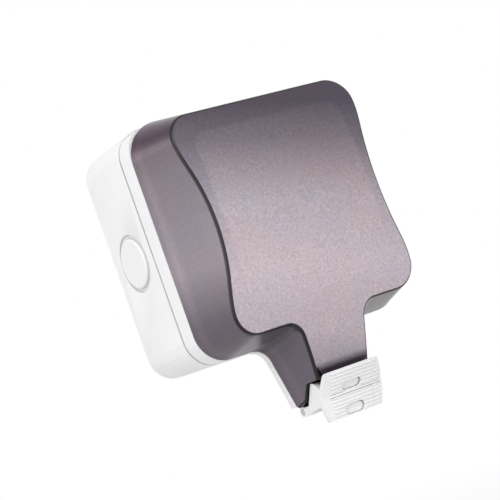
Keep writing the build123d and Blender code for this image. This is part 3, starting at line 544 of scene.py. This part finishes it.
def make_materials():
    return {
        "white_shell": moulded_plastic("white_shell", WHITE, roughness=0.38),
        # The latch takes its own, milder painted shade in its crevices
        "latch_white": moulded_plastic("latch_white", LATCH_WHITE, roughness=0.36,
                                       crevice_shade=LATCH_CREVICE_PAINTED_SHADE),
        "module_white": moulded_plastic("module_white", MODULE_WHITE, roughness=0.28,
                                        relief=MODULE_RELIEF),
        "smoked_cover": smoked_plastic("smoked_cover"),
        "black_rubber": rubber("black_rubber"),
        "steel": metal("steel", STEEL, roughness=0.30, stretch=ALONG_Y),
        "gold_contact": metal("gold_contact", GOLD, roughness=0.22),
        "jack_black": moulded_plastic("jack_black", JACK_BLACK, roughness=0.42),
        "shutter_grey": moulded_plastic("shutter_grey", SHUTTER_GREY, roughness=0.34),
        "cap_white": moulded_plastic("cap_white", CAP_WHITE, roughness=0.45),
    }


def slot_of(node):
    for row in frame["record"]["subparts"]:
        if row["node"] == node:
            return row["material_slot"]
    raise KeyError(node)


def stand(thing):
    """Puts an object into the scene."""
    bpy.context.scene.collection.objects.link(thing)
    return thing


def smooth(mesh, sharp_angle):
    for polygon in mesh.polygons:
        polygon.use_smooth = True
    mesh.set_sharp_from_angle(angle=math.radians(sharp_angle))


def outward(point, half, corner):
    """How far a point lies outside a rounded square's corner centres, and which way."""
    core = half - corner
    reach = Vector((point.x - max(-core, min(core, point.x)),
                    point.z - max(-core, min(core, point.z))))
    return reach.length, reach


def step_box_rim(shape):
    """Gives the box's front edge its step."""
    half = PLATE_EDGE - PLATE_FLUSH
    corner = PLATE_CORNER - PLATE_FLUSH
    rim = [edge for edge in shape.edges
           if all(abs(vertex.co.y - SEAM_BACK) < SAME_LEVEL
                  and outward(vertex.co, half, corner)[0] > corner - SAME_PLACE
                  for vertex in edge.verts)
           and len(edge.link_faces) == 2 and edge.calc_face_angle() > RIM_TURN]
    bmesh.ops.bevel(shape, geom=rim, offset=SEAM_STEP, offset_type="OFFSET", segments=2,
                    profile=0.0, affect="EDGES")


def set_plate_flush(shape):
    """Draws the plate's rim in until it lies flush with the box."""
    for vertex in shape.verts:
        far, reach = outward(vertex.co, PLATE_EDGE, PLATE_CORNER)
        if abs(far - PLATE_CORNER) < SAME_PLACE:
            shift = reach.normalized() * PLATE_FLUSH
            vertex.co.x -= shift.x
            vertex.co.z -= shift.y


def pad_frames():
    """Start, direction down, direction out and length of each of the latch's two pads."""
    for start, end in ((LATCH_TOP, LATCH_MID), (LATCH_MID, LATCH_LOW)):
        run = Vector(end) - Vector(start)
        along = run.normalized()
        yield Vector(start), along, Vector((-along.y, along.x)), run.length


def deepen_ovals(shape):
    """Sinks the floors of the pads' ovals further."""
    for start, along, out, length in pad_frames():
        for vertex in shape.verts:
            place = Vector((-vertex.co.y, vertex.co.z)) - start
            if (abs(place.dot(out) + OVAL_SINK) < SAME_PLACE and 0 < place.dot(along) < length
                    and abs(vertex.co.x) < OVAL_REACH):
                vertex.co.y += out.x * OVAL_DEEPER
                vertex.co.z -= out.y * OVAL_DEEPER


RESHAPE = {"back_box": step_box_rim, "front_plate": set_plate_flush, "latch": deepen_ovals}


def dress(node, materials):
    """Stands a copy with rounded edges and smooth curves in place of a CAD node."""
    mesh = frame["nodes"][node].data.copy()
    mesh.name = node + "_skin"
    shape = bmesh.new()
    shape.from_mesh(mesh)
    bmesh.ops.remove_doubles(shape, verts=shape.verts, dist=WELD)
    bmesh.ops.dissolve_limit(shape, angle_limit=math.radians(FLAT_ANGLE), verts=shape.verts,
                             edges=shape.edges)
    if node in RESHAPE:
        RESHAPE[node](shape)
    shape.to_mesh(mesh)
    shape.free()
    mesh.materials.clear()
    mesh.materials.append(materials[slot_of(node)])
    smooth(mesh, SHARP_ANGLE)
    piece = stand(bpy.data.objects.new(node + "_skin", mesh))
    bevel = piece.modifiers.new("edges", "BEVEL")
    bevel.width = EDGE_ROUND.get(node, EDGE_ROUND_ELSEWHERE)
    bevel.segments = ROUND_STEPS
    bevel.limit_method = "ANGLE"
    bevel.angle_limit = math.radians(ROUND_ANGLE)
    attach(piece, frame["nodes"][node].get("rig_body"))
    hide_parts(node)


def latch_edge(z):
    """Half width of the latch's bulging outline at a height."""
    share = (z - LATCH_LOW[1]) / (LATCH_TOP[1] - LATCH_LOW[1])
    return LATCH_HALF_TOP + LATCH_BULGE * math.sin(math.pi * share)


def add_bar(shape, start, along, out, far, span, half, rise):
    """Low rounded bar along X on a pad, with its ends run out."""
    rings = []
    for x, size in ((span[0], BAR_TIP), (span[0] + half, 1.0),
                    (span[1] - half, 1.0), (span[1], BAR_TIP)):
        ring = []
        for step in range(BAR_STEPS + 1):
            angle = math.pi * step / BAR_STEPS
            seat = BAR_SEAT if step in (0, BAR_STEPS) else 0.0
            place = (start + along * (far - half * size * math.cos(angle))
                     + out * (rise * size * math.sin(angle) - seat))
            ring.append(shape.verts.new((x, -place.x, place.y)))
        rings.append(ring)
    for near, next_ring in zip(rings, rings[1:]):
        for corners in zip(near, near[1:], next_ring[1:], next_ring):
            shape.faces.new(corners)
        shape.faces.new((near[-1], near[0], next_ring[0], next_ring[-1]))
    shape.faces.new(rings[0])
    shape.faces.new(tuple(reversed(rings[-1])))


def make_latch_ribs(materials):
    """Runs the pads' ribs out to the right edge, and adds the ridge below the fold."""
    shape = bmesh.new()
    for start, along, out, length in pad_frames():
        pitch = (length - 2 * PAD_MARGIN - RIB_WIDTH) / (PAD_RIBS - 1)
        for rib in range(PAD_RIBS):
            far = PAD_MARGIN + rib * pitch + RIB_WIDTH / 2
            end = latch_edge(start.y + along.y * far) - EDGE_MARGIN
            add_bar(shape, start, along, out, far, (RIB_START, end), RIB_WIDTH / 2, RIB_RISE)
    start, along, out, _ = list(pad_frames())[1]
    end = latch_edge(start.y) - EDGE_MARGIN
    add_bar(shape, start, along, out, RIDGE_WIDTH / 2, (RIDGE_START, end), RIDGE_WIDTH / 2,
            RIDGE_RISE)
    bmesh.ops.recalc_face_normals(shape, faces=shape.faces)
    mesh = bpy.data.meshes.new("latch_ribs")
    shape.to_mesh(mesh)
    shape.free()
    mesh.materials.append(materials[slot_of("latch")])
    smooth(mesh, RIB_SHARP_ANGLE)
    piece = stand(bpy.data.objects.new("latch_ribs", mesh))
    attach(piece, frame["nodes"]["latch"].get("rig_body"))


def make_camera():
    data = bpy.data.cameras.new("camera")
    data.lens = CAMERA_LENS
    data.sensor_width = SENSOR
    data.clip_start = CLIP_START
    data.clip_end = CLIP_END
    camera = stand(bpy.data.objects.new("camera", data))
    bpy.context.scene.camera = camera
    view = (CAMERA_AIM - CAMERA_PLACE).normalized()
    level = view.to_track_quat("-Z", "Y").to_matrix()
    turn = Matrix.Rotation(math.radians(CAMERA_ROLL), 3, view)
    camera.location = CAMERA_PLACE
    camera.rotation_mode = "QUATERNION"
    camera.rotation_quaternion = (turn @ level).to_quaternion()


def soft_light(name, place, aim, size, power):
    data = bpy.data.lights.new(name, "AREA")
    data.shape = "SQUARE"
    data.size = size
    data.energy = power
    lamp = stand(bpy.data.objects.new(name, data))
    lamp.location = place
    lamp.rotation_mode = "QUATERNION"
    lamp.rotation_quaternion = (Vector(aim) - Vector(place)).to_track_quat("-Z", "Y")


def make_world():
    world = bpy.data.worlds.new("studio")
    bpy.context.scene.world = world
    room = Nodes(world)
    back = room.tree.nodes["Background"]
    back.inputs["Color"].default_value = (*PLAIN, 1.0)
    room.link(room.levels(room.seen(), ROOM_LIGHT, 1.0), back.inputs["Strength"])


def floor_material():
    """Pale matt floor that glows white to the camera, and more so away from the object."""
    mat = new_material("floor_white")
    mat.shader.inputs["Base Color"].default_value = (*shade(PLAIN, FLOOR_SHADE), 1.0)
    mat.set(Roughness=FLOOR_ROUGHNESS)
    reach = mat.add("ShaderNodeVectorMath", operation="LENGTH")
    mat.link(mat.place(), reach.inputs[0])
    strength = mat.span(reach.outputs["Value"], From_Min=WHITE_START, From_Max=WHITE_END,
                        To_Min=FLOOR_GLOW, To_Max=1.0)
    glow = mat.add("ShaderNodeEmission", Color=(*PLAIN, 1.0))
    mix = mat.add("ShaderNodeMixShader")
    mat.link(mat.math("MULTIPLY", mat.seen(), strength), mix.inputs["Fac"])
    mat.link(mat.shader.outputs["BSDF"], mix.inputs[SHADER_FIRST])
    mat.link(glow.outputs["Emission"], mix.inputs[SHADER_SECOND])
    mat.link(mix.outputs["Shader"], mat.tree.nodes["Material Output"].inputs["Surface"])
    return mat.owner


def make_floor():
    half = FLOOR_SIZE / 2
    corners = [(-half, -half, FLOOR_Z), (half, -half, FLOOR_Z), (half, half, FLOOR_Z),
               (-half, half, FLOOR_Z)]
    mesh = bpy.data.meshes.new("floor")
    mesh.from_pydata(corners, [], [(0, 1, 2, 3)])
    mesh.materials.append(floor_material())
    floor = stand(bpy.data.objects.new("floor", mesh))


make_camera()
make_world()
make_floor()
for lamp_values in LAMPS:
    soft_light(*lamp_values)

MATERIALS = make_materials()
for cad_node in sorted(frame["nodes"]):
    dress(cad_node, MATERIALS)
make_latch_ribs(MATERIALS)

bpy.context.scene.view_settings.view_transform = "Standard"
bpy.context.view_layer.update()
